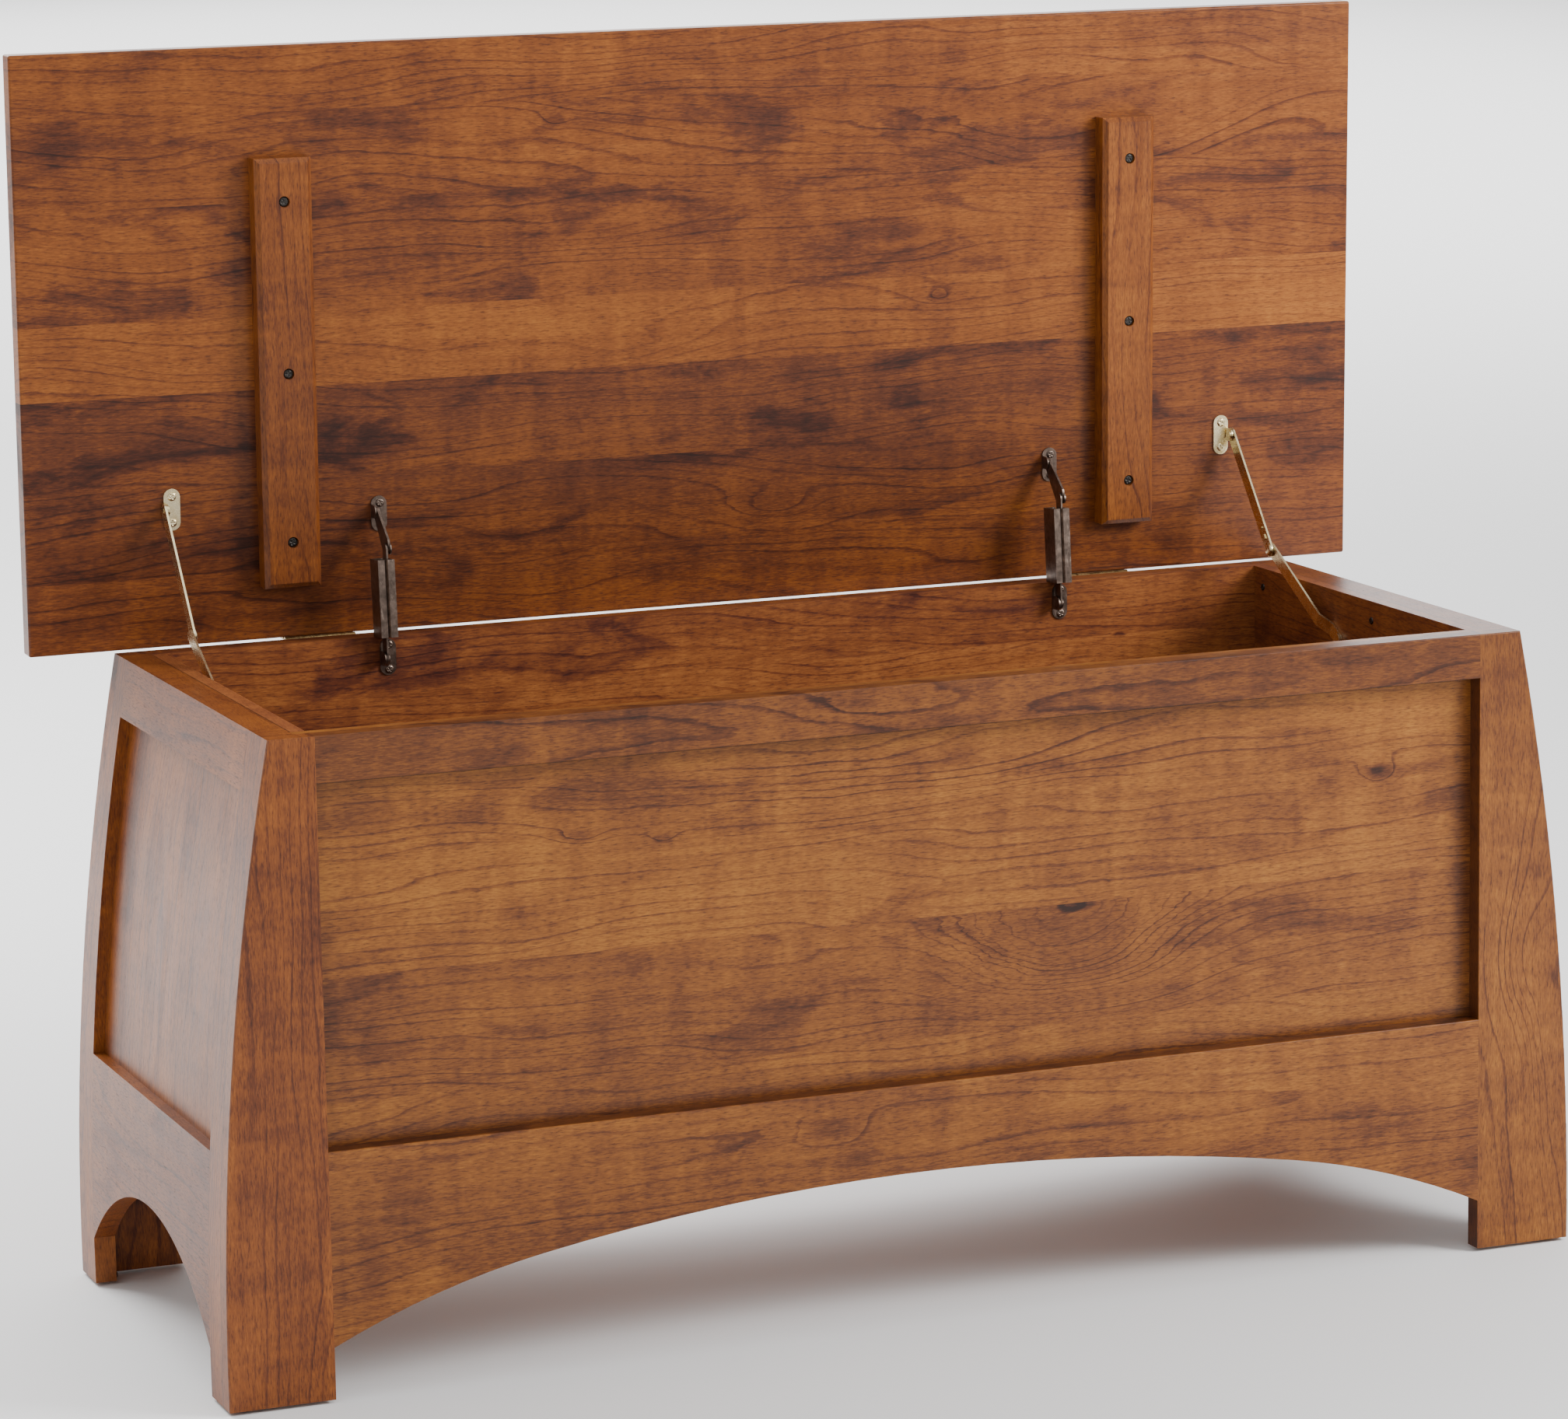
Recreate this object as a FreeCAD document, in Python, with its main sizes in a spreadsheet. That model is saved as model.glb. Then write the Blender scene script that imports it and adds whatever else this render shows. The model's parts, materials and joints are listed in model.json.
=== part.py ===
import FreeCAD, Part
import math
import os
import Sketcher

# An open blanket chest: frame-and-panel case on arched feet, one lid on two butt hinges,
# two folding brass stays at the ends and two bronze spring supports behind.
# Case pieces are drawn with x = 0 on the centre line, y = 0 on the front face, z = 0 under
# the wooden feet; lid pieces are drawn from the hinge pin with the lid standing straight up.

Vector = FreeCAD.Vector

SHEET = {
    # where the drawing frames stand in the part's own frame
    "front_face": -235.2,
    "foot_level": 3.0,
    # case
    "height": 525.0,
    "depth": 441.8,
    "frame_thick": 16.5,
    "stile_inner": 502.4,
    "foot_half": 588.4,
    "curve_radius": 2595.0,
    "curve_start": 26.0,
    "top_rail_low": 488.0,
    "bottom_rail_top": 198.2,
    "arch_end_x": 502.4,
    "arch_end_z": 41.7,
    "arch_join_x": 330.0,
    "arch_join_z": 96.6,
    "arch_mid_radius": 1898.6,
    "arch_end_radius": 678.6,
    "ease": 1.2,
    "box_bottom": 148.0,
    "front_wall_in": 26.0,
    "back_wall_in": 416.8,
    "liner_outer": 514.5,
    "floor_thick": 12.0,
    "cleat_thick": 18.0,
    "cleat_half": 480.0,
    "side_thick": 18.0,
    "side_open_front": 49.6,
    "side_open_back": 398.1,
    "side_open_low": 197.0,
    "side_open_high": 478.8,
    "side_arch_end": 39.0,
    "side_arch_radius": 249.3,
    "panel_recess": 9.7,
    "panel_thick": 6.0,
    "glide_radius": 9.5,
    "glide_x": 572.5,
    "glide_inset": 18.0,
    # lid, drawn from the hinge pin
    "pin_y": 447.8,
    "pin_z": 521.6,
    "lid_lean": 1.3,
    "lid_half": 609.6,
    "lid_rear": 3.1,
    "lid_front": 500.15,
    "lid_inner": 3.7,
    "lid_outer": 22.7,
    "lid_round": 1.8,
    "batten_x": 385.5,
    "batten_wide": 49.0,
    "batten_low": 48.45,
    "batten_high": 408.45,
    "batten_thick": 19.0,
    "batten_bevel": 4.0,
    "bore_radius": 4.7,
    "bore_deep": 2.5,
    # hinges
    "hinge_x": 360.0,
    "hinge_long": 62.0,
    "knuckle_radius": 4.0,
    "pin_radius": 2.0,
    "leaf_thick": 1.5,
    "leaf_reach": 22.0,
    "leaf_low": 495.0,
    "running_gap": 0.3,
    "bore_gap": 0.05,
    # folding brass stays
    "stay_plate_x": 484.4,
    "stay_plate_wide": 14.0,
    "stay_plate_low": 101.45,
    "stay_plate_high": 136.65,
    "plate_thick": 1.5,
    "stay_ear_y": -3.3,
    "stay_ear_z": 119.45,
    "stay_arm_thick": 1.8,
    "stay_arm_radius": 6.0,
    "stay_upper_long": 120.08,
    "stay_lower_long": 131.61,
    "stay_wall_y": 252.0,
    "stay_wall_z": 483.0,
    "stay_elbow_y": 367.0,
    "stay_elbow_z": 547.0,
    "stay_lower_turn": -60.905,
    "stay_upper_turn": -38.524,
    "stay_jog": 6.5,
    "rivet_radius": 2.5,
    # bronze spring supports
    "support_x": 310.4,
    "support_wall_y": 407.0,
    "support_wall_z": 507.5,
    "support_turn": -4.227,
    "support_long": 92.25,
    "support_arm_turn": -44.857,
    "support_arm_long": 39.41,
    "support_elbow_y": 413.8,
    "support_elbow_z": 599.5,
    "support_ear_y": -3.8,
    "support_ear_z": 105.95,
    "sleeve_low": 18.5,
    "sleeve_high": 84.0,
    "sheet_thick": 1.2,
    "screw_radius": 3.7,
    "screw_head": 1.2,
}


class Size:
    """A length that carries its number and the sheet formula that gives it."""

    def __init__(self, value, text):
        self.value = float(value)
        self.text = text

    def __add__(self, other):
        other = size(other)
        return Size(self.value + other.value, f"({self.text} + {other.text})")

    def __sub__(self, other):
        other = size(other)
        return Size(self.value - other.value, f"({self.text} - {other.text})")

    def __mul__(self, other):
        other = size(other)
        return Size(self.value * other.value, f"({self.text} * {other.text})")

    def __truediv__(self, other):
        other = size(other)
        return Size(self.value / other.value, f"({self.text} / {other.text})")

    def __radd__(self, other):
        return size(other) + self

    def __rsub__(self, other):
        return size(other) - self

    def __rmul__(self, other):
        return size(other) * self

    def __neg__(self):
        return self * -1.0


def size(number):
    """A plain number as a Size; a Size is passed on unchanged."""
    if isinstance(number, Size):
        return number
    text = f"{float(number):.6f}"
    return Size(number, f"({text})" if number < 0 else text)


def root(inside):
    return Size(math.sqrt(inside.value), f"sqrt({inside.text})")


doc = FreeCAD.newDocument("blanket_chest")
sheet = doc.addObject("Spreadsheet::Sheet", "sizes")
for row, (name, value) in enumerate(SHEET.items(), start=1):
    sheet.set(f"A{row}", name)
    sheet.set(f"B{row}", str(value))
    sheet.setAlias(f"B{row}", name)
doc.recompute()


def dim(name):
    return Size(SHEET[name], f"sizes.{name}")


def bind(thing, field, length):
    thing.setExpression(field, size(length).text)


class Home:
    """Where a piece's drawing frame stands: a point and a turn about the x direction."""

    def __init__(self, y, z, turn=None, x=0.0):
        self.x = size(x)
        self.y = size(y)
        self.z = size(z)
        self.turn = turn

    def seat(self, piece):
        piece.Placement = FreeCAD.Placement(Vector(0, 0, 0), FreeCAD.Rotation(Vector(1, 0, 0), 1.0))
        for letter, length in (("x", self.x), ("y", self.y), ("z", self.z)):
            bind(piece, f"Placement.Base.{letter}", length)
        if self.turn is None:
            piece.Placement.Rotation = FreeCAD.Rotation()
        else:
            bind(piece, "Placement.Rotation.Angle", self.turn)


CASE = Home(dim("front_face"), dim("foot_level"))
LID = Home(dim("front_face") + dim("pin_y"), dim("foot_level") + dim("pin_z"), dim("lid_lean"))

PIECES = []


def keep(piece, label, home):
    """Make a drawn shape one of the part's named pieces."""
    if piece.TypeId in ("Part::Box", "Part::Cylinder"):
        piece = group([piece])
    piece.Label = label
    home.seat(piece)
    PIECES.append(piece)
    return piece


def box(x, y, z):
    piece = doc.addObject("Part::Box", "block")
    for side, letter, (low, high) in zip(("Length", "Width", "Height"), "xyz", (x, y, z)):
        low, high = size(low), size(high)
        bind(piece, side, high - low)
        bind(piece, f"Placement.Base.{letter}", low)
    return piece


TURNS = {"x": (Vector(0, 1, 0), 90), "y": (Vector(1, 0, 0), -90), "z": (Vector(0, 0, 1), 0)}


def rod(axis, centre, radius, low, high):
    """A round bar along one axis; centre gives its other two coordinates in x, y, z order."""
    piece = doc.addObject("Part::Cylinder", "rod")
    bind(piece, "Radius", radius)
    bind(piece, "Height", size(high) - low)
    piece.Placement = FreeCAD.Placement(Vector(0, 0, 0), FreeCAD.Rotation(*TURNS[axis]))
    others = [letter for letter in "xyz" if letter != axis]
    bind(piece, f"Placement.Base.{axis}", low)
    for letter, length in zip(others, centre):
        bind(piece, f"Placement.Base.{letter}", length)
    return piece


def fuse(*pieces):
    joined = doc.addObject("Part::MultiFuse", "joined")
    joined.Shapes = list(pieces)
    return joined


def cut(base, *tools):
    result = doc.addObject("Part::Cut", "cut")
    result.Base = base
    result.Tool = tools[0] if len(tools) == 1 else fuse(*tools)
    return result


def common(first, second):
    result = doc.addObject("Part::Common", "common")
    result.Base = first
    result.Tool = second
    return result


def group(pieces):
    gathered = doc.addObject("Part::Compound", "group")
    gathered.Links = list(pieces)
    return gathered


PLANES = {"x": ("YZ_Plane", 1, False), "y": ("XZ_Plane", -1, True), "z": ("XY_Plane", 1, False)}


def start_sketch(body, axis, level):
    role, sign, _ = PLANES[axis]
    sketch = body.newObject("Sketcher::SketchObject", "outline")
    plane = [feature for feature in body.Origin.OriginFeatures if feature.Role == role][0]
    sketch.AttachmentSupport = [(plane, "")]
    sketch.MapMode = "FlatFace"
    bind(sketch, "AttachmentOffset.Base.z", size(level) * sign)
    return sketch


def pin_down(sketch, edge, point, place):
    """Fix one point of a sketch edge by its two distances from the origin."""
    for kind, length in zip(("DistanceX", "DistanceY"), place):
        length = size(length)
        row = sketch.addConstraint(Sketcher.Constraint(kind, -1, 1, edge, point, length.value))
        sketch.setExpression(f"Constraints[{row}]", length.text)


def draw_loop(sketch, path):
    """Draw a closed outline; a corner's third entry is the radius of the arc leaving it,
    positive when the arc turns left."""
    corners = [(Vector(size(corner[0]).value, size(corner[1]).value, 0), corner) for corner in path]
    rows = []
    for index, (here, corner) in enumerate(corners):
        there = corners[(index + 1) % len(corners)][0]
        if len(corner) == 2:
            edge = sketch.addGeometry(Part.LineSegment(here, there), False)
            rows.append((edge, 1, 2))
            continue
        radius = size(corner[2])
        chord = there - here
        left = Vector(-chord.y, chord.x, 0) / chord.Length
        reach = math.sqrt(radius.value ** 2 - (chord.Length / 2) ** 2)
        centre = (here + there) / 2 + left * math.copysign(reach, radius.value)
        first, last = (here, there) if radius.value > 0 else (there, here)
        start, stop = (math.atan2(point.y - centre.y, point.x - centre.x) for point in (first, last))
        circle = Part.Circle(centre, Vector(0, 0, 1), abs(radius.value))
        edge = sketch.addGeometry(Part.ArcOfCircle(circle, start, stop), False)
        rows.append((edge, 1, 2) if radius.value > 0 else (edge, 2, 1))
        length = radius if radius.value > 0 else -radius
        row = sketch.addConstraint(Sketcher.Constraint("Radius", edge, length.value))
        sketch.setExpression(f"Constraints[{row}]", length.text)
    for index, (edge, first, _) in enumerate(rows):
        before, _, last = rows[index - 1]
        sketch.addConstraint(Sketcher.Constraint("Coincident", before, last, edge, first))
        pin_down(sketch, edge, first, path[index][:2])


def draw_hole(sketch, place, radius):
    radius = size(radius)
    centre = Vector(size(place[0]).value, size(place[1]).value, 0)
    edge = sketch.addGeometry(Part.Circle(centre, Vector(0, 0, 1), radius.value), False)
    row = sketch.addConstraint(Sketcher.Constraint("Radius", edge, radius.value))
    sketch.setExpression(f"Constraints[{row}]", radius.text)
    pin_down(sketch, edge, 3, place)


def plate(axis, path, low, high, holes=(), dress=None):
    """Pad an outline along one axis between two levels. Dress is (kind, size, test): the
    edges whose middle passes the test are filleted or chamfered."""
    body = doc.addObject("PartDesign::Body", "body")
    sketch = start_sketch(body, axis, low)
    draw_loop(sketch, path)
    for place, radius in holes:
        draw_hole(sketch, place, radius)
    pad = body.newObject("PartDesign::Pad", "pad")
    pad.Profile = sketch
    pad.Reversed = PLANES[axis][2]
    bind(pad, "Length", size(high) - low)
    if dress:
        kind, amount, test = dress
        doc.recompute()
        names = [f"Edge{number}" for number, edge in enumerate(pad.Shape.Edges, start=1)
                 if test(edge.valueAt((edge.FirstParameter + edge.LastParameter) / 2))]
        feature = body.newObject(f"PartDesign::{kind}", kind.lower())
        feature.Base = (pad, names)
        bind(feature, "Radius" if kind == "Fillet" else "Size", amount)
    return body


def sink(body, axis, level, places, radius, deep):
    """Sink round pockets into a body from one level, along the positive axis."""
    before = body.Shape.Volume
    sketch = start_sketch(body, axis, level)
    for place in places:
        draw_hole(sketch, place, radius)
    pocket = body.newObject("PartDesign::Pocket", "pocket")
    pocket.Profile = sketch
    pocket.Type = "Length"
    pocket.Reversed = axis != "y"
    bind(pocket, "Length", deep)
    doc.recompute()
    assert body.Shape.Volume < before - 1.0, "pocket missed the body"
    return body


def oblong(left, right, low, high):
    return [(left, low), (right, low), (right, high), (left, high)]


def flipped(path):
    """The same outline on the other side of the centre line."""
    return [(-size(corner[0]), corner[1]) + tuple(-size(radius) for radius in corner[2:]) for corner in path]


def on_side(side, path):
    return path if side > 0 else flipped(path)


def span(side, near, far):
    """Two distances from the centre line as low and high x on one side."""
    near, far = size(near), size(far)
    return (near, far) if side > 0 else (-far, -near)


def outside(level, inset=0.0):
    """Half width of the curved end at one level, or of a surface set in from it."""
    radius = dim("curve_radius") - inset
    rise = size(level) - dim("curve_start")
    return dim("foot_half") - dim("curve_radius") + root(radius * radius - rise * rise)


SIDES = (("left", -1), ("right", 1))
top = dim("height")
depth = dim("depth")
inner = dim("stile_inner")
thick = dim("frame_thick")
curve = dim("curve_radius")
liner = dim("liner_outer")

# ---- front and back frames ---------------------------------------------------------------

FRAMES = (("front", size(0.0), thick, 0.0), ("back", depth - thick, depth, depth.value))
for end, low, high, face in FRAMES:
    def outer_arris(middle, face=face):
        return abs(middle.y - face) < 0.01 and abs(middle.x) > 520 and middle.z > 30

    def level_arris(middle, face=face):
        return abs(middle.y - face) < 0.01 and abs(middle.x) < 490

    for name, side in SIDES:
        stile = [(inner, 0.0), (outside(0.0), 0.0, curve), (outside(top), top), (inner, top)]
        piece = plate("y", on_side(side, stile), low, high, dress=("Fillet", dim("ease"), outer_arris))
        keep(piece, f"{end}_{name}_stile", CASE)
    rail = oblong(-inner, inner, dim("top_rail_low"), top)
    keep(plate("y", rail, low, high, dress=("Fillet", dim("ease"), level_arris)), f"{end}_top_rail", CASE)
    join_x, join_z = dim("arch_join_x"), dim("arch_join_z")
    arch = [
        (-dim("arch_end_x"), dim("arch_end_z"), -dim("arch_end_radius")),
        (-join_x, join_z, -dim("arch_mid_radius")),
        (join_x, join_z, -dim("arch_end_radius")),
        (dim("arch_end_x"), dim("arch_end_z")),
        (inner, dim("bottom_rail_top")),
        (-inner, dim("bottom_rail_top")),
    ]

    def upper_arris(middle, face=face):
        return abs(middle.y - face) < 0.01 and middle.z > 190

    keep(plate("y", arch, low, high, dress=("Fillet", dim("ease"), upper_arris)), f"{end}_bottom_rail", CASE)

walls = (("front", thick, dim("front_wall_in")), ("back", dim("back_wall_in"), depth - thick))
for end, low, high in walls:
    keep(box((-liner, liner), (low, high), (dim("box_bottom"), top)), f"{end}_panel", CASE)

# ---- curved ends ---------------------------------------------------------------------------

open_low, open_high = dim("side_open_low"), dim("side_open_high")
open_front, open_back = dim("side_open_front"), dim("side_open_back")
shell = dim("side_thick")


def curved_strip(low, high, outer_inset, inner_inset):
    """Section through the curved end between two levels and two depths below its surface."""
    return [
        (outside(low, inner_inset), low),
        (outside(low, outer_inset), low, curve - outer_inset),
        (outside(high, outer_inset), high),
        (outside(high, inner_inset), high, -(curve - inner_inset)),
    ]


for name, side in SIDES:
    post = [
        (outside(0.0, shell), 0.0),
        (outside(0.0), 0.0, curve),
        (outside(top), top),
        (liner, top),
        (liner, open_high),
        (outside(open_high, shell), open_high, -(curve - shell)),
    ]
    post = on_side(side, post)
    keep(plate("y", post, thick, open_front), f"{name}_side_front_stile", CASE)
    keep(plate("y", post, open_back, depth - thick), f"{name}_side_rear_stile", CASE)
    cap = [(liner, open_high), (outside(open_high), open_high, curve), (outside(top), top), (liner, top)]
    keep(plate("y", on_side(side, cap), open_front, open_back), f"{name}_side_top_rail", CASE)
    strip = plate("y", on_side(side, curved_strip(0.0, open_low, 0.0, shell)), open_front, open_back)
    arch = [
        (open_front, dim("side_arch_end"), -dim("side_arch_radius")),
        (open_back, dim("side_arch_end")),
        (open_back, open_low),
        (open_front, open_low),
    ]
    arched = plate("x", arch, *span(side, liner, dim("lid_half")))
    keep(common(strip, arched), f"{name}_side_bottom_rail", CASE)
    inset = dim("panel_recess")
    panel = curved_strip(open_low, open_high, inset, inset + dim("panel_thick"))
    keep(plate("y", on_side(side, panel), open_front, open_back), f"{name}_side_panel", CASE)
    lining = box(span(side, inner, liner), (dim("front_wall_in"), dim("back_wall_in")),
                 (dim("box_bottom"), top))
    keep(lining, f"{name}_liner", CASE)

# ---- floor, cleats, glides ------------------------------------------------------------------

floor_top = dim("box_bottom") + dim("floor_thick")
within = (dim("front_wall_in"), dim("back_wall_in"))
keep(box((-inner, inner), within, (dim("box_bottom"), floor_top)), "floor_panel", CASE)
cleat_z = (dim("box_bottom") - dim("cleat_thick"), dim("box_bottom"))
cleat_x = (-dim("cleat_half"), dim("cleat_half"))
cleats = [
    box(cleat_x, (thick, thick + 20.0), cleat_z),
    box(cleat_x, (depth - thick - 20.0, depth - thick), cleat_z),
]
keep(group(cleats), "floor_cleats", CASE)
glides = []
for _, side in SIDES:
    for place in (dim("glide_inset"), depth - dim("glide_inset")):
        glides.append(rod("z", (dim("glide_x") * side, place), dim("glide_radius"), -dim("foot_level"), 0.0))
keep(group(glides), "glides", CASE)


def screw_heads(axis, places, face, outward, radius=None):
    """Round screw heads standing on a face, outward being the side they stand on."""
    radius = radius or dim("screw_radius")
    tip = size(face) + dim("screw_head") * outward
    low, high = (face, tip) if outward > 0 else (tip, face)
    return [rod(axis, place, radius, low, high) for place in places]


heads = []
for _, side in SIDES:
    places = [(size(y), size(508.0)) for y in (42.0, 193.0, 400.0)]
    heads += screw_heads("x", places, inner * side, -side, size(3.2))
keep(group(heads), "liner_screws", CASE)

# ---- lid and battens ------------------------------------------------------------------------

lid_path = oblong(-dim("lid_half"), dim("lid_half"), dim("lid_rear"), dim("lid_front"))
slab = plate("y", lid_path, dim("lid_inner"), dim("lid_outer"),
             dress=("Fillet", dim("lid_round"), lambda middle: True))
keep(slab, "lid_panel", LID)

face = dim("lid_inner") - dim("batten_thick")
bore_rows = (86.95, 228.95, 372.45)
for name, side in SIDES:
    left = dim("batten_x") * side - dim("batten_wide") / 2
    path = oblong(left, left + dim("batten_wide"), dim("batten_low"), dim("batten_high"))
    bevel = ("Chamfer", dim("batten_bevel"), lambda middle: abs(middle.y - face.value) < 0.01)
    batten = plate("y", path, face, dim("lid_inner"), dress=bevel)
    doc.recompute()
    places = [(dim("batten_x") * side, size(z)) for z in bore_rows]
    keep(sink(batten, "y", face, places, dim("bore_radius"), dim("bore_deep")), f"{name}_batten", LID)
heads = []
for _, side in SIDES:
    places = [(dim("batten_x") * side, size(z)) for z in bore_rows]
    heads += screw_heads("y", places, face + dim("bore_deep"), -1, dim("bore_radius") - 0.4)
keep(group(heads), "batten_screws", LID)

# ---- hinges ---------------------------------------------------------------------------------

gap = dim("running_gap")
knuckle = dim("knuckle_radius")
pitch = dim("hinge_long") / 5
leaf = dim("leaf_thick")
PIN = Home(dim("front_face") + dim("pin_y"), dim("foot_level") + dim("pin_z"))


def knuckles(centre, numbers):
    ends = []
    for number in numbers:
        low = centre - half_hinge + pitch * number
        ends.append((low + gap / 2, low + pitch - gap / 2))
    return ends


half_hinge = dim("hinge_long") / 2
case_back = dim("depth") - dim("pin_y")
leaf_foot = dim("leaf_low") - dim("pin_z")
lid_edge = dim("lid_rear")
for name, side in SIDES:
    centre = dim("hinge_x") * side
    across = (centre - half_hinge, centre + half_hinge)
    # the case leaf lies on the back of the case and is cranked out under its knuckles
    case_parts = [box(across, (case_back, case_back + leaf), (leaf_foot, -knuckle + leaf))]
    for low, high in knuckles(centre, (0, 2, 4)):
        case_parts.append(box((low, high), (case_back, 0.0), (-knuckle, -knuckle + leaf)))
        case_parts.append(rod("x", (0.0, 0.0), knuckle, low, high))
    hole = rod("x", (0.0, 0.0), dim("pin_radius"), *across)
    keep(cut(fuse(*case_parts), hole), f"{name}_hinge_case_leaf", PIN)
    # the lid leaf lies on the lid's rear edge
    lid_z = (lid_edge - leaf, lid_edge)
    leaf_start = dim("lid_inner") + 0.5
    lid_parts = [box(across, (leaf_start, dim("leaf_reach")), lid_z)]
    for low, high in knuckles(centre, (1, 3)):
        lid_parts.append(box((low, high), (0.0, leaf_start), lid_z))
        lid_parts.append(rod("x", (0.0, 0.0), knuckle, low, high))
    hole = rod("x", (0.0, 0.0), dim("pin_radius") + dim("bore_gap"), *across)
    keep(cut(fuse(*lid_parts), hole), f"{name}_hinge_lid_leaf", LID)
pins = [rod("x", (0.0, 0.0), dim("pin_radius"), dim("hinge_x") * side - half_hinge,
            dim("hinge_x") * side + half_hinge) for _, side in SIDES]
keep(group(pins), "hinge_pins", PIN)
rows = [dim("hinge_x") * side + step for _, side in SIDES for step in (-21.0, 0.0, 21.0)]
small = dim("screw_radius") - 0.6
case_face = case_back + leaf
flush = [rod("y", (x, leaf_foot + 9.0), small, case_face, case_face + 0.3) for x in rows]
keep(group(flush), "hinge_case_screws", PIN)
flush = [rod("z", (x, size(13.5)), small, lid_edge - leaf - 0.3, lid_edge - leaf) for x in rows]
keep(group(flush), "hinge_lid_screws", LID)

# ---- folding brass stays --------------------------------------------------------------------

metal = dim("plate_thick")
arm = dim("stay_arm_thick")
round_end = dim("stay_arm_radius")
pivot = dim("rivet_radius")
plate_half = dim("stay_plate_wide") / 2
ear_out = dim("stay_plate_x") + plate_half
upper_near = ear_out + gap
lower_near = upper_near + arm + gap
wall_near = lower_near + dim("stay_jog")
elbow = (dim("stay_elbow_y"), dim("stay_elbow_z"))


def tongue(xs, place, radius, back):
    """An ear: a rounded end about a point, with straight sides running back to a level."""
    y, z = place
    return fuse(box(xs, (y, back), (z - radius, z + radius)), rod("x", (y, z), radius, *xs))


def stadium(length, radius):
    """Outline of a flat link with half-round ends, standing on the origin."""
    return [
        (radius, 0.0), (radius, length, radius), (0.0, length + radius, radius), (-radius, length),
        (-radius, 0.0, radius), (0.0, -radius, radius),
    ]


def round_ended(xs, zs):
    """Outline of an upright plate with half-round ends, between two edges and two heights."""
    left, right = xs
    foot, top = zs
    radius = (right - left) / 2
    middle = left + radius
    return [
        (right, foot + radius), (right, top - radius, radius), (middle, top, radius), (left, top - radius),
        (left, foot + radius, radius), (middle, foot, radius),
    ]


for name, side in SIDES:
    plate_xs = span(side, dim("stay_plate_x") - plate_half, ear_out)
    outline = round_ended(plate_xs, (dim("stay_plate_low"), dim("stay_plate_high")))
    foot = plate("y", outline, dim("lid_inner") - metal, dim("lid_inner"))
    ear_place = (dim("stay_ear_y"), dim("stay_ear_z"))
    ear = tongue(span(side, ear_out - metal, ear_out), ear_place, round_end - 0.5, dim("lid_inner") - metal)
    pin = rod("x", ear_place, pivot, *span(side, ear_out - metal, upper_near + arm + gap))
    inner_head = rod("x", ear_place, pivot + 1.8, *span(side, ear_out - metal - 1.0, ear_out - metal))
    keep(fuse(foot, ear, pin, inner_head), f"{name}_stay_bracket", LID)

    # the upper arm hangs from the ear; its own frame runs along the arm
    hang = Home(dim("front_face") + elbow[0], dim("foot_level") + elbow[1], dim("stay_upper_turn"))
    long_arm = dim("stay_upper_long")
    holes = [((size(0.0), long_arm), pivot + dim("bore_gap"))]
    upper = plate("x", stadium(long_arm, round_end), *span(side, upper_near, upper_near + arm), holes=holes)
    stud = box(span(side, upper_near - 0.9, upper_near), (-1.8, 1.8), (10.5, 15.0))
    rivet = rod("x", (0.0, 22.5), 1.6, *span(side, upper_near - 0.8, upper_near))
    keep(fuse(upper, stud, rivet), f"{name}_stay_upper_arm", hang)
    boss = rod("x", (0.0, 0.0), round_end - 0.6, *span(side, upper_near - 1.2, upper_near))
    keep(boss, f"{name}_stay_elbow_rivet", hang)

    # the lower arm stands on the wall rivet and steps outwards near its foot
    stand = Home(dim("front_face") + dim("stay_wall_y"), dim("foot_level") + dim("stay_wall_z"),
                 dim("stay_lower_turn"))
    long_arm = dim("stay_lower_long")
    jog = [
        (wall_near, -10.0), (wall_near + arm, -10.0), (wall_near + arm, 16.0),
        (lower_near + arm, 30.0), (lower_near + arm, long_arm + 10.0),
        (lower_near, long_arm + 10.0), (lower_near, 29.0), (wall_near, 15.0),
    ]
    stepped = plate("y", on_side(side, jog), -10.0, 10.0)
    holes = [((size(0.0), size(0.0)), pivot + dim("bore_gap"))]
    outline = plate("x", stadium(long_arm, round_end), *span(side, lower_near - 1.0, wall_near + arm + 1.0),
                    holes=holes)
    keep(common(stepped, outline), f"{name}_stay_lower_arm", stand)

rivets = []
wall_place = (dim("stay_wall_y"), dim("stay_wall_z"))
for _, side in SIDES:
    shank = rod("x", wall_place, pivot, *span(side, wall_near - gap - 1.0, inner))
    cap = rod("x", wall_place, round_end, *span(side, wall_near - gap - 1.4, wall_near - gap))
    rivets.append(fuse(shank, cap))
keep(group(rivets), "stay_wall_rivets", CASE)
places = [(dim("stay_plate_x") * side, size(z)) for _, side in SIDES for z in (107.95, 129.95)]
keep(group(screw_heads("y", places, dim("lid_inner") - metal, -1)), "stay_screws", LID)

# ---- bronze spring supports -----------------------------------------------------------------

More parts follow.
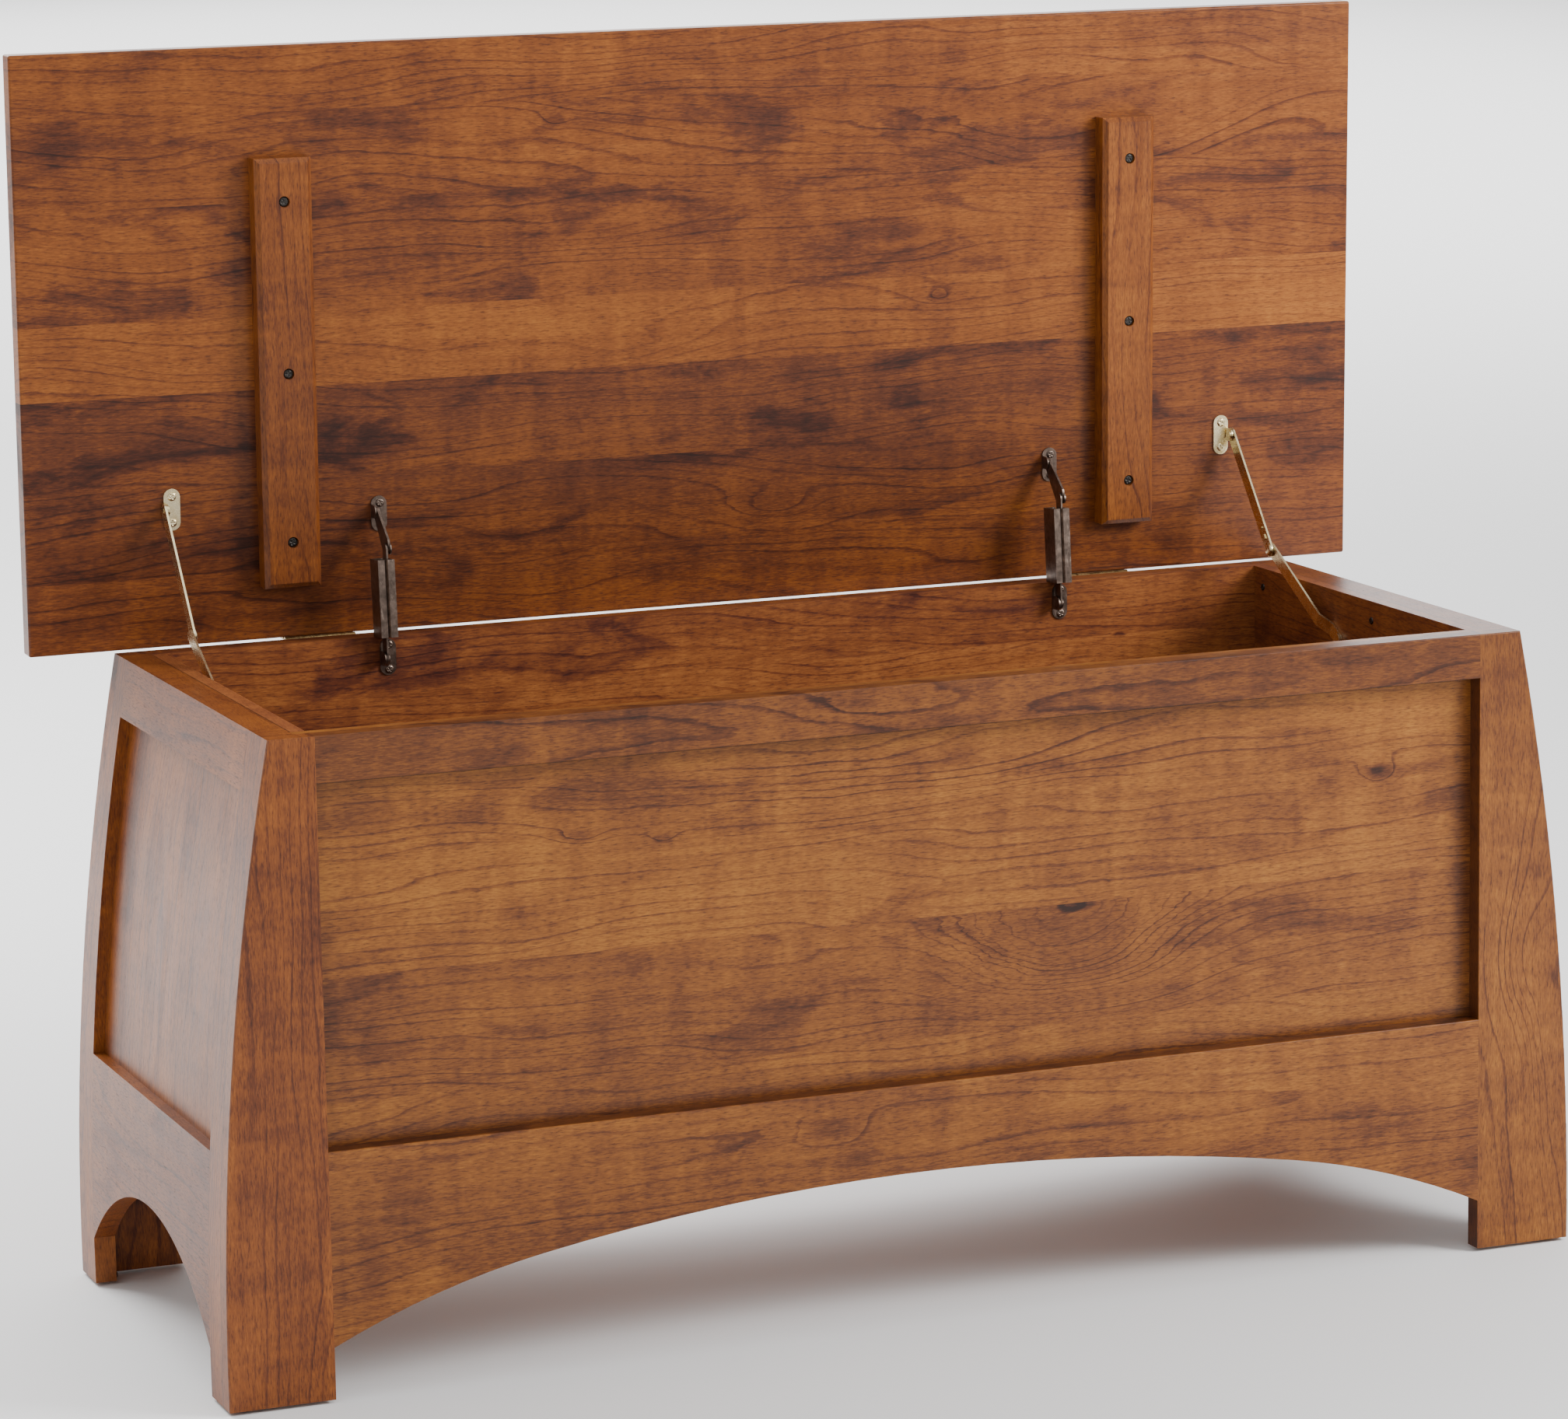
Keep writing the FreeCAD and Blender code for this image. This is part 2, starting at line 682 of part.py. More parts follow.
sheet_metal = dim("sheet_thick")
wall = dim("back_wall_in")
brackets = []
for name, side in SIDES:
    middle = dim("support_x") * side
    turned = Home(dim("front_face") + dim("support_wall_y"), dim("foot_level") + dim("support_wall_z"),
                  dim("support_turn"), middle)
    place = (dim("support_wall_y"), dim("support_wall_z"))
    base = plate("y", round_ended((middle - 7.0, middle + 7.0), (size(492.0), size(523.0))), wall - metal, wall)
    ear = tongue((middle - 7.0, middle - 5.5), place, size(6.0), wall - metal)
    pin = rod("x", place, pivot, middle - 5.5, middle - 3.4)
    cap = rod("x", place, pivot + 2.2, middle - 3.4, middle - 2.2)
    brackets.append(fuse(base, ear, pin, cap))

    # strap: hangs on the wall rivet, steps across inside the housing, ends at the elbow
    reach = dim("support_long")
    lower = plate("x", stadium(size(26.0), size(6.0)), -5.2, -3.7,
                  holes=[((size(0.0), size(0.0)), pivot + dim("bore_gap"))])
    step = box((-5.2, 0.3), (-5.0, 5.0), (30.0, 32.0))
    lug = [(5.0, 30.0), (5.0, reach, 5.0), (0.0, reach + 5.0, 5.0), (-5.0, reach), (-5.0, 30.0)]
    upper = plate("x", lug, -1.2, 0.3)
    crimps = [box((-9.6, -3.7), (-5.0, 5.0), (22.0, 26.0)), box((-9.6, -1.2), (-5.0, 5.0), (64.0, 68.0))]
    elbow_pin = rod("x", (0.0, reach), pivot, 0.3, 2.7)
    elbow_cap = rod("x", (0.0, reach), pivot + 2.3, 2.7, 4.1)
    strap = fuse(lower, step, upper, *crimps, elbow_pin, elbow_cap)
    keep(strap, f"{name}_support_strap", turned)

    # folded housing: one sheet bent round the strap, open behind for the arm to fold into
    left, right, front = size(-10.8), size(3.8), size(-11.0)
    back = size(11.0)
    folded = [
        (0.2, back), (left, back), (left, front), (-5.0, front), (-3.6, front + 2.4), (-2.2, front),
        (right, front), (right, back - 2.0), (right - sheet_metal, back - 2.0),
        (right - sheet_metal, front + sheet_metal), (-1.6, front + sheet_metal),
        (-3.6, front + 4.3), (-5.6, front + sheet_metal), (left + sheet_metal, front + sheet_metal),
        (left + sheet_metal, back - sheet_metal), (0.2, back - sheet_metal),
    ]
    housing = plate("z", folded, dim("sleeve_low"), dim("sleeve_high"))
    keep(housing, f"{name}_support_housing", turned)

    # coil spring shut inside the housing, on the fixed side of the strap
    coil = doc.addObject("Part::Helix", "coil")
    bind(coil, "Pitch", 3.08)
    bind(coil, "Height", 30.8)
    bind(coil, "Radius", 3.2)
    coil.Placement.Base = Vector(-5.4, 0, 32.6)
    wire = doc.addObject("Part::Circle", "wire")
    bind(wire, "Radius", 0.6)
    wire.Placement = FreeCAD.Placement(Vector(-2.2, 0, 32.6), FreeCAD.Rotation(Vector(1, 0, 0), 90))
    spring = doc.addObject("Part::Sweep", "spring")
    spring.Sections = [wire]
    spring.Spine = (coil, ["Edge1"])
    spring.Solid = True
    spring.Frenet = True
    keep(spring, f"{name}_support_spring", turned)

    # arm: a broad lobe at the elbow tapering to a small round end at the lid ear
    flung = Home(dim("front_face") + dim("support_elbow_y"), dim("foot_level") + dim("support_elbow_z"),
                 dim("support_arm_turn"), middle)
    far = dim("support_arm_long")
    taper = [(9.0, 3.0), (5.2, far, 5.5), (-5.2, far), (-9.0, 3.0, 9.5)]
    holes = [((size(0.0), size(0.0)), pivot + dim("bore_gap"))]
    flat = plate("x", taper, 0.6, 2.4, holes=holes)
    keep(fuse(flat, rod("x", (0.0, far), pivot + 1.5, 2.4, 3.6)), f"{name}_support_arm", flung)

    # lid plate with a plain ear beside the arm
    ear_place = (dim("support_ear_y"), dim("support_ear_z"))
    outline = round_ended((middle - 0.9, middle + 12.8), (size(88.45), size(118.45)))
    base = plate("y", outline, dim("lid_inner") - metal, dim("lid_inner"))
    ear = tongue((middle - 0.9, middle + 0.3), ear_place, size(5.5), dim("lid_inner") - metal)
    keep(fuse(base, ear), f"{name}_support_lid_bracket", LID)
keep(group(brackets), "support_wall_brackets", CASE)

places = [(dim("support_x") * side + 6.8, size(z)) for _, side in SIDES for z in (93.95, 112.45)]
keep(group(screw_heads("y", places, dim("lid_inner") - metal, -1)), "support_lid_screws", LID)
places = [(dim("support_x") * side + 0.8, size(z)) for _, side in SIDES for z in (497.0, 518.0)]
keep(group(screw_heads("y", places, wall - metal, -1)), "support_wall_screws", CASE)

# ---- check and write ------------------------------------------------------------------------

doc.recompute()
for thing in doc.Objects:
    assert not {"Invalid", "Error"} & set(thing.State), f"{thing.Label}: {thing.State}"
os.makedirs("parts", exist_ok=True)
for piece in PIECES:
    shape = piece.Shape
    assert not shape.isNull() and shape.isValid() and shape.Solids, piece.Label
    shape.exportStep(f"parts/{piece.Label}.step")
    bounds = shape.optimalBoundingBox(False, False)
    print(f"{piece.Label:28s} {len(shape.Solids):2d} x {bounds.XMin:7.1f} {bounds.XMax:7.1f}"
          f" y {bounds.YMin:7.1f} {bounds.YMax:7.1f} z {bounds.ZMin:7.1f} {bounds.ZMax:7.1f}")
print(len(PIECES), "pieces")
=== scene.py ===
import json
import math

import bmesh
import bpy
from mathutils import Matrix, Vector


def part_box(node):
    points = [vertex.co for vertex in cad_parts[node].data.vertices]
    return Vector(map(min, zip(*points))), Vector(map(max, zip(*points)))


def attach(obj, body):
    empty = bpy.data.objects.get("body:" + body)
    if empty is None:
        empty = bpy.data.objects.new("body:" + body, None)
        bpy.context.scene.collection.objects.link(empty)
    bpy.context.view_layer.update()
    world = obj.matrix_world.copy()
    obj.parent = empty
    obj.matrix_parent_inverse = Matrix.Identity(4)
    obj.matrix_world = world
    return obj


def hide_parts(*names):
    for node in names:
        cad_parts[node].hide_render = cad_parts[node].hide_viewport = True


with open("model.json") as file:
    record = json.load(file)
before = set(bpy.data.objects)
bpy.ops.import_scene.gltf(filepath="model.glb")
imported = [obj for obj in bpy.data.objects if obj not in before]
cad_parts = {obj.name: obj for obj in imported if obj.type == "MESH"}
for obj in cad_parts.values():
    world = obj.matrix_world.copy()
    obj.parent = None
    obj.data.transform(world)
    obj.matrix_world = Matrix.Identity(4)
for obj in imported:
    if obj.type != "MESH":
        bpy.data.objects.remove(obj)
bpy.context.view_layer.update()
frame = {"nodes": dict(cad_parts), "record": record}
LEAN = math.radians(1.3)


# ---- shader writing ----------------------------------------------------------------------------

class Field:
    """A value that changes over a surface. Arithmetic on it adds the shader's own nodes."""

    def __init__(self, finish, socket):
        self.finish = finish
        self.socket = socket

    def math(self, operation, *others, **more):
        values = dict(enumerate((self,) + others))
        return self.finish.add("ShaderNodeMath", {"operation": operation, **more}, values)

    def __add__(self, other):
        return self.math("ADD", other)

    def __sub__(self, other):
        return self.math("SUBTRACT", other)

    def __rsub__(self, other):
        return self.finish.add("ShaderNodeMath", {"operation": "SUBTRACT"}, {0: other, 1: self})

    def __mul__(self, other):
        return self.math("MULTIPLY", other)

    def __truediv__(self, other):
        return self.math("DIVIDE", other)

    def __pow__(self, other):
        return self.math("POWER", other)

    def __neg__(self):
        return self * -1.0

    __radd__ = __add__
    __rmul__ = __mul__

    def within(self, low, high):
        """0 below low, 1 above high, and a smooth climb between."""
        values = {"Value": self, "From Min": low, "From Max": high}
        return self.finish.add("ShaderNodeMapRange", {"interpolation_type": "SMOOTHSTEP"}, values)

    def clamp(self):
        return self.math("ADD", 0.0, use_clamp=True)


class Finish:
    """One material and the nodes that make it."""

    def __init__(self, name, **constants):
        self.material = bpy.data.materials.new(name)
        self.material.use_nodes = True
        self.tree = self.material.node_tree
        self.shader = self.tree.nodes["Principled BSDF"]
        for socket, value in constants.items():
            self.shader.inputs[socket.replace("_", " ")].default_value = value
        place = self.tree.nodes.new("ShaderNodeTexCoord")
        split = self.add("ShaderNodeSeparateXYZ", {}, {0: Field(self, place.outputs["Object"])})
        outputs = split.socket.node.outputs
        self.x, self.y, self.z = (Field(self, outputs[letter]) for letter in "XYZ")

    def add(self, kind, settings, values, output=0):
        node = self.tree.nodes.new(kind)
        for setting, value in settings.items():
            if setting == "stops":
                self.set_stops(node.color_ramp, value)
            else:
                setattr(node, setting, value)
        for key, value in values.items():
            if isinstance(value, Field):
                self.tree.links.new(value.socket, node.inputs[key])
            else:
                node.inputs[key].default_value = value
        return Field(self, node.outputs[output])

    @staticmethod
    def set_stops(ramp, stops):
        while len(ramp.elements) < len(stops):
            ramp.elements.new(0.5)
        for element, (position, color) in zip(ramp.elements, stops):
            element.position = position
            element.color = (*color, 1.0)

    def vector(self, x, y, z):
        return self.add("ShaderNodeCombineXYZ", {}, {0: x, 1: y, 2: z})

    def cloud(self, vector, detail=3.0, rough=0.5, twist=0.0):
        values = {"Vector": vector, "Scale": 1.0, "Detail": detail, "Roughness": rough}
        return self.add("ShaderNodeTexNoise", {}, {**values, "Distortion": twist})

    def speckle(self, fineness, detail, rough=0.6):
        """Round spots, with more of them to the metre as fineness grows."""
        place = self.vector(self.x * fineness, self.y * fineness, self.z * fineness)
        return self.cloud(place, detail, rough)

    def ramp(self, value, stops):
        return self.add("ShaderNodeValToRGB", {"stops": stops}, {0: value})

    def steps(self, value, stops):
        """Three values that jump from one board to the next."""
        colors = self.add("ShaderNodeValToRGB", {"stops": stops}, {0: value})
        colors.socket.node.color_ramp.interpolation = "CONSTANT"
        split = self.add("ShaderNodeSeparateColor", {}, {0: colors})
        return [Field(self, socket) for socket in split.socket.node.outputs]

    def mix(self, first, second, amount):
        values = {0: amount, 6: first, 7: second}
        return self.add("ShaderNodeMix", {"data_type": "RGBA"}, values, 2)

    def feed(self, **links):
        for socket, value in links.items():
            self.tree.links.new(value.socket, self.shader.inputs[socket.replace("_", " ")])

    def bump(self, height, distance, strength=1.0):
        values = {"Height": height, "Distance": distance, "Strength": strength}
        self.feed(Normal=self.add("ShaderNodeBump", {}, values))


# ---- stained cherry ----------------------------------------------------------------------------

STAIN = [
    (0.00, (0.022, 0.006, 0.003)),
    (0.22, (0.064, 0.0155, 0.006)),
    (0.42, (0.134, 0.035, 0.009)),
    (0.60, (0.228, 0.066, 0.012)),
    (0.80, (0.350, 0.114, 0.018)),
    (1.00, (0.500, 0.186, 0.028)),
]


PORE_COLOR = (0.045, 0.013, 0.006, 1.0)
SEAM_COLOR = (0.012, 0.005, 0.003, 1.0)
SEAM_HALF = (0.0005, 0.0011)
RING_SPACING = 0.0085
RING_RISE = 0.035
JOINT_BLUR = 0.0002


def cherry(
    name, run, over, deep, seed, tone=0.60, boards=(), knots=(), blotch=1.0, pith=0.0, taper=0.02,
    painted_light_drift=0.0, tint=(1.0, 1.0, 1.0), seams=(), reveal=(), corners=(),
):
    """Lacquered cherry. Run, over and deep name the directions along the grain, across the face
    and into the wood. Boards are (upper edge, tone, blotch, pith) in metres across the face, and
    knots are (along, across, half length, half height, how far rings are pushed, how dark). Drift
    lightens the wood towards one end, painted light brightening the side the key light comes from.
    Seams are (axis, place) of the open joints at a piece's edge.
    Corners are (axis, edge, where it ends, how dark) of painted shade in a panel's corners, and
    reveal is (face, axis, where it starts, where it is full, how dark) for an inner edge set back
    behind a face, darkened as painted shade on the front frame and to a deeper tone on the back panel."""
    wood = Finish(name, Specular_IOR_Level=0.30)
    along, across, depth = (getattr(wood, letter) for letter in (run, over, deep))
    tones, blotches, middle, shift = tone, blotch, pith, 0.0
    if boards:
        low, high = boards[0][0], boards[-1][0]
        pairs = list(zip(boards, boards[1:]))
        stops = [((below[0] - low) / (high - low), board[1:]) for below, board in pairs]
        tones, blotches, piths = wood.steps((across - low) / (high - low), stops)
        middle = (piths - 0.5) * 0.12
        shift = piths * 37.0
    base = shift + seed * 7.31

    def grain(lengthwise, crosswise, detail, rough=0.6, twist=0.0):
        place = wood.vector(along * lengthwise + base, across * crosswise + base, depth * crosswise)
        return wood.cloud(place, detail, rough, twist) - 0.5

    wander = grain(1.7, 6.0, 2.0)
    ripple = grain(15.0, 62.0, 4.0)
    push = 0.0
    dark = 0.0
    marked = 1.0
    for at, up, half_long, half_high, shove, stain in knots:
        lengthways = (along - at) / half_long + ripple * 0.35
        crossways = (across - up) / half_high + wander * 0.8
        hump = (-(lengthways * lengthways + crossways * crossways)).math("EXPONENT")
        for below, board in zip(boards, boards[1:]):
            if below[0] <= up < board[0]:
                # a knot stays in its own board
                hump = hump * across.within(below[0] - JOINT_BLUR, below[0] + JOINT_BLUR)
                hump = hump * (1.0 - across.within(board[0] - JOINT_BLUR, board[0] + JOINT_BLUR))
        push = hump * shove + push
        marked = hump * 0.9 + marked
        dark = hump.within(0.45, 0.95) * stain + dark
    offset = across + wander * 0.13 - middle
    reach = (offset * offset + RING_RISE * RING_RISE) ** 0.5
    turns = (reach + along * taper + ripple * 0.007 + push) / RING_SPACING
    place_in_ring = turns.math("FRACT")
    ring = turns.math("FLOOR")
    ring_place = wood.vector(ring * 1.37 + base, along * 3.0, ring * 0.71)
    weight = wood.cloud(ring_place, 2.0, 0.5).within(0.34, 0.68)
    line = place_in_ring.within(0.70, 0.94) * (1.0 - place_in_ring.within(0.94, 1.0))
    late = line * (weight * 0.85 + 0.15) * marked
    flecks = grain(150.0, 900.0, 3.0)
    streaks = grain(6.0, 150.0, 5.0, 0.65)
    clouds = grain(8.0, 25.0, 5.0, 0.62, 0.7)
    broad = grain(2.6, 9.0, 3.0, 0.5, 0.3)
    flame = grain(46.0, 12.0, 3.0, 0.55, 0.4)
    patches = clouds.within(-0.03, 0.20) * blotches
    shade = (
        tones
        + broad * 0.42
        + streaks * 0.30
        # painted light: the wood brightens towards the side the key light comes from
        + along.within(0.05, 0.50) * painted_light_drift
        + flecks * 0.62
        + flame * 0.34
        - late * 0.24
        - patches * 0.34
        - dark
    )
    # painted shade in a panel's corners, where the frame around it shades it
    for axis, edge, inside, darker in corners:
        shade = shade - (1.0 - getattr(wood, axis).within(edge, inside)) * darker
    # darkens wood set back behind a face: painted shade on the front frame's recessed edges
    for face, axis, outside, inside, darker in reveal:
        beside = getattr(wood, axis).within(outside, inside)
        shade = shade - depth.within(face + 0.0006, face + 0.0022) * beside * darker
    color = wood.ramp(shade.clamp(), STAIN)
    pores = 1.0 - flecks.within(-0.19, -0.07)
    color = wood.mix(color, PORE_COLOR, pores * 0.40)
    color = wood.add("ShaderNodeVectorMath", {"operation": "MULTIPLY"}, {0: color, 1: tint})
    for axis, place in seams:
        gap = 1.0 - (getattr(wood, axis) - place).math("ABSOLUTE").within(*SEAM_HALF)
        color = wood.mix(color, SEAM_COLOR, gap * 0.85)
    wood.feed(Base_Color=color, Roughness=streaks * 0.12 + 0.33 + patches * 0.05 + pores * 0.10)
    wood.bump(flecks * 0.6 - late * 0.3, 0.00012, 0.35)
    return wood.material


LID_FOOT = 0.5285
LID_BOARDS = [(LID_FOOT, 0, 0, 0)] + [
    (LID_FOOT + edge, tone, blotch, pith)
    for edge, tone, blotch, pith in (
        (0.0577, 0.46, 0.55, 0.30),
        (0.1320, 0.42, 0.80, 0.62),
        (0.2090, 0.47, 1.05, 0.18),
        (0.2715, 0.625, 0.25, 0.85),
        (0.3655, 0.53, 0.95, 0.45),
        (0.4400, 0.54, 0.75, 0.72),
        (0.5000, 0.565, 0.40, 0.08),
    )
]
LID_KNOTS = [
    (-0.141, LID_FOOT + 0.423, 0.016, 0.007, 0.010, 0.16),
    (0.059, LID_FOOT + 0.080, 0.045, 0.016, 0.020, 0.02),
    (0.211, LID_FOOT + 0.255, 0.014, 0.007, 0.008, 0.18),
    (0.330, LID_FOOT + 0.395, 0.150, 0.034, 0.034, 0.0),
    (-0.280, LID_FOOT + 0.105, 0.080, 0.018, 0.014, 0.0),
    (-0.120, LID_FOOT + 0.330, 0.120, 0.020, 0.016, 0.0),
]
PANEL_BOARDS = [
    (0.151, 0, 0, 0),
    (0.234, 0.63, 0.25, 0.70),
    (0.333, 0.53, 0.70, 0.28),
    (0.528, 0.62, 0.55, 0.52),
]
PANEL_KNOTS = [
    (-0.284, 0.427, 0.020, 0.008, 0.012, 0.12),
    (-0.215, 0.419, 0.014, 0.007, 0.010, 0.16),
    (0.416, 0.416, 0.018, 0.011, 0.016, 0.20),
    (0.135, 0.318, 0.095, 0.058, 0.085, 0.12),
    (0.143, 0.331, 0.024, 0.007, 0.004, 0.32),
    (0.050, 0.455, 0.220, 0.026, 0.022, 0.0),
]
BACK_BOARDS = [
    (0.151, 0, 0, 0),
    (0.320, 0.58, 0.5, 0.2),
    (0.475, 0.65, 0.3, 0.6),
    (0.528, 0.58, 0.9, 0.35),
]
BACK_KNOTS = [(0.368, 0.476, 0.010, 0.004, 0.006, 0.2)]
TOP_RAIL_KNOTS = [(-0.011, 0.511, 0.110, 0.018, 0.016, 0.0)]
BOTTOM_RAIL_KNOTS = [(-0.084, 0.172, 0.034, 0.015, 0.018, 0.12)]
RIGHT_STILE_KNOTS = [(0.246, 0.545, 0.060, 0.030, 0.030, 0.0)]

FRONT_TINT = (0.98, 1.13, 1.10)
INNER_TINT = (1.05, 1.12, 1.90)

# how the grain lies: along, across the face, into the wood
LEVEL = dict(run="x", over="z", deep="y")
UPRIGHT = dict(run="z", over="x", deep="y")
FLAT = dict(run="x", over="y", deep="z")
END_LEVEL = dict(run="y", over="z", deep="x")
END_UPRIGHT = dict(run="z", over="y", deep="x")

WOODS = {
    "lid_panel": dict(LEVEL, seed=1, boards=LID_BOARDS, knots=LID_KNOTS, painted_light_drift=0.07),
    "front_panel": dict(
        LEVEL, seed=2, boards=PANEL_BOARDS, knots=PANEL_KNOTS, painted_light_drift=0.05, tint=FRONT_TINT,
    ),
    "back_panel": dict(LEVEL, seed=3, boards=BACK_BOARDS, knots=BACK_KNOTS, tint=INNER_TINT),
    "front_top_rail": dict(
        LEVEL, seed=4, tone=0.44, blotch=0.45, pith=0.505, tint=FRONT_TINT, knots=TOP_RAIL_KNOTS,
    ),
    "front_bottom_rail": dict(
        LEVEL, seed=5, tone=0.57, blotch=0.45, pith=0.16, tint=FRONT_TINT, knots=BOTTOM_RAIL_KNOTS,
    ),
    "back_top_rail": dict(LEVEL, seed=6, tone=0.56, pith=0.50),
    "back_bottom_rail": dict(LEVEL, seed=7, tone=0.58, pith=0.12),
    "front_left_stile": dict(UPRIGHT, seed=8, tone=0.57, blotch=0.3, pith=-0.60, taper=0.01),
    "front_right_stile": dict(
        UPRIGHT, seed=9, tone=0.53, blotch=0.4, pith=0.50, taper=0.03, tint=FRONT_TINT,
        knots=RIGHT_STILE_KNOTS,
    ),
    "back_left_stile": dict(UPRIGHT, seed=10, tone=0.58, pith=-0.5),
    "back_right_stile": dict(UPRIGHT, seed=11, tone=0.58, pith=0.6),
    "floor_panel": dict(FLAT, seed=12, tone=0.62, blotch=0.4),
    "floor_cleats": dict(FLAT, seed=13, tone=0.62, blotch=0.2),
    "left_batten": dict(UPRIGHT, seed=14, tone=0.55, blotch=0.15, pith=-0.46, taper=0.008),
    "right_batten": dict(UPRIGHT, seed=15, tone=0.59, blotch=0.15, pith=0.47, taper=0.008),
}
END_WOODS = (
    ("side_front_stile", END_UPRIGHT, 0.55, 0.3, -0.1),
    ("side_rear_stile", END_UPRIGHT, 0.56, 0.3, 0.3),
    ("side_top_rail", END_LEVEL, 0.54, 0.4, 0.45),
    ("side_bottom_rail", END_LEVEL, 0.50, 0.4, 0.2),
    ("side_panel", END_UPRIGHT, 0.58, 0.5, 0.0),
    ("liner", END_LEVEL, 0.63, 0.5, 0.4),
)
for first_seed, side in ((20, "left"), (30, "right")):
    for count, (part, lie, tone, blotch, pith) in enumerate(END_WOODS):
        looks = dict(lie, seed=first_seed + count, tone=tone, blotch=blotch, pith=pith)
        WOODS[f"{side}_{part}"] = looks
    WOODS[f"{side}_liner"]["tint"] = INNER_TINT


# ---- metals ------------------------------------------------------------------------------------

def polished_brass():
    metal = Finish("polished_brass", Metallic=1.0)
    spots = metal.speckle(140.0, 3.0)
    rub = metal.cloud(metal.vector(metal.x * 900.0, metal.y * 60.0, metal.z * 900.0), 2.0, 0.6)
    tones = [(0.25, (0.66, 0.52, 0.28)), (0.5, (0.80, 0.68, 0.42)), (0.8, (0.88, 0.78, 0.54))]
    metal.feed(Base_Color=metal.ramp(spots, tones), Roughness=spots * 0.12 + 0.16 + rub * 0.10)
    metal.bump(rub, 0.00005, 0.4)
    return metal.material


def dull_brass():
    metal = Finish("dull_brass", Metallic=1.0)
    spots = metal.speckle(300.0, 4.0)
    tones = [(0.3, (0.16, 0.10, 0.045)), (0.5, (0.36, 0.25, 0.11)), (0.8, (0.60, 0.44, 0.22))]
    metal.feed(Base_Color=metal.ramp(spots, tones), Roughness=spots * 0.25 + 0.28)
    metal.bump(spots, 0.00008, 0.4)
    return metal.material


def dark_bronze():
    metal = Finish("dark_bronze", Metallic=0.92)
    spots = metal.speckle(160.0, 5.0, 0.65)
    worn = metal.cloud(metal.vector(metal.x * 420.0, metal.y * 420.0, metal.z * 110.0), 3.0, 0.6)
    tones = [
        (0.25, (0.090, 0.066, 0.054)),
        (0.5, (0.190, 0.140, 0.112)),
        (0.8, (0.340, 0.250, 0.200)),
    ]
    color = metal.ramp(spots, tones)
    color = metal.mix(color, (0.55, 0.42, 0.34, 1.0), worn.within(0.58, 0.76) * 0.6)
    metal.feed(Base_Color=color, Roughness=spots * 0.22 + 0.24)
    metal.bump(worn, 0.00008, 0.4)
    return metal.material


def black_steel():
    metal = Finish("blackened_steel", Metallic=0.8)
    spots = metal.speckle(700.0, 3.0)
    tones = [
        (0.3, (0.018, 0.016, 0.015)),
        (0.62, (0.060, 0.052, 0.046)),
        (0.8, (0.16, 0.14, 0.12)),
    ]
    metal.feed(Base_Color=metal.ramp(spots, tones), Roughness=spots * 0.25 + 0.25)
    return metal.material


def oiled_steel():
    metal = Finish("oiled_steel", Metallic=1.0)
    spots = metal.speckle(500.0, 3.0)
    tones = [(0.3, (0.22, 0.21, 0.20)), (0.7, (0.50, 0.49, 0.47))]
    metal.feed(Base_Color=metal.ramp(spots, tones), Roughness=spots * 0.2 + 0.25)
    return metal.material


def glide_plastic():
    plastic = Finish("glide_plastic")
    grit = plastic.speckle(900.0, 4.0)
    tones = [(0.3, (0.020, 0.019, 0.018)), (0.7, (0.055, 0.050, 0.046))]
    plastic.feed(Base_Color=plastic.ramp(grit, tones), Roughness=grit * 0.3 + 0.45)
    plastic.bump(grit, 0.0002, 0.5)
    return plastic.material


METALS = {
    "brass": polished_brass(),
    "bronze": dark_bronze(),
    "dark_screw": black_steel(),
    "spring_steel": oiled_steel(),
    "glide_plastic": glide_plastic(),
}
DULL_BRASS = dull_brass()

# how dark the painted shade is on the front frame's recessed inner edges
RECESS_SHADE = 0.26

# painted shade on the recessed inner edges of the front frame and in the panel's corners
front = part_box("front_bottom_rail")[0][1]
rail_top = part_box("front_bottom_rail")[1][2]
left_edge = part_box("front_left_stile")[1][0]
right_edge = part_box("front_right_stile")[0][0]
WOODS["front_bottom_rail"]["reveal"] = [(front, "z", rail_top - 0.004, rail_top - 0.002, RECESS_SHADE)]
WOODS["front_left_stile"]["reveal"] = [(front, "x", left_edge - 0.004, left_edge - 0.002, RECESS_SHADE)]
WOODS["front_right_stile"]["reveal"] = [(front, "x", right_edge + 0.004, right_edge + 0.002, RECESS_SHADE)]
WOODS["front_panel"]["corners"] = [
    ("z", rail_top + 0.005, rail_top + 0.013, 0.15),
    ("x", right_edge - 0.001, right_edge - 0.022, 0.12),
]
WOODS["front_panel"]["seams"] = [("z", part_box("front_top_rail")[0][2] - 0.0027)]
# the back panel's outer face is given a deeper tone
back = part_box("back_panel")[0][1]
WOODS["back_panel"]["reveal"] = [(back + 0.003, "z", -1.0, 0.0, 0.12)]

# open hairlines: round the liners, and where the end frames meet the front frame
for side, face in (("left", 0), ("right", 1)):
    WOODS[f"{side}_liner"]["seams"] = [("x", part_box(f"{side}_liner")[face][0])]
    WOODS[f"{side}_side_front_stile"]["seams"] = [("y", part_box(f"{side}_side_front_stile")[0][1])]

for entry in frame["record"]["subparts"]:
    name = entry["node"]
    node = frame["nodes"][name]
    if name in WOODS:
        finish = cherry(f"cherry_{name}", **WOODS[name])
    elif "hinge" in name:
        finish = DULL_BRASS
    else:
        finish = METALS[entry["material_slot"]]
    node.data.materials.clear()
    node.data.materials.append(finish)


# ---- screws and rivets -------------------------------------------------------------------------

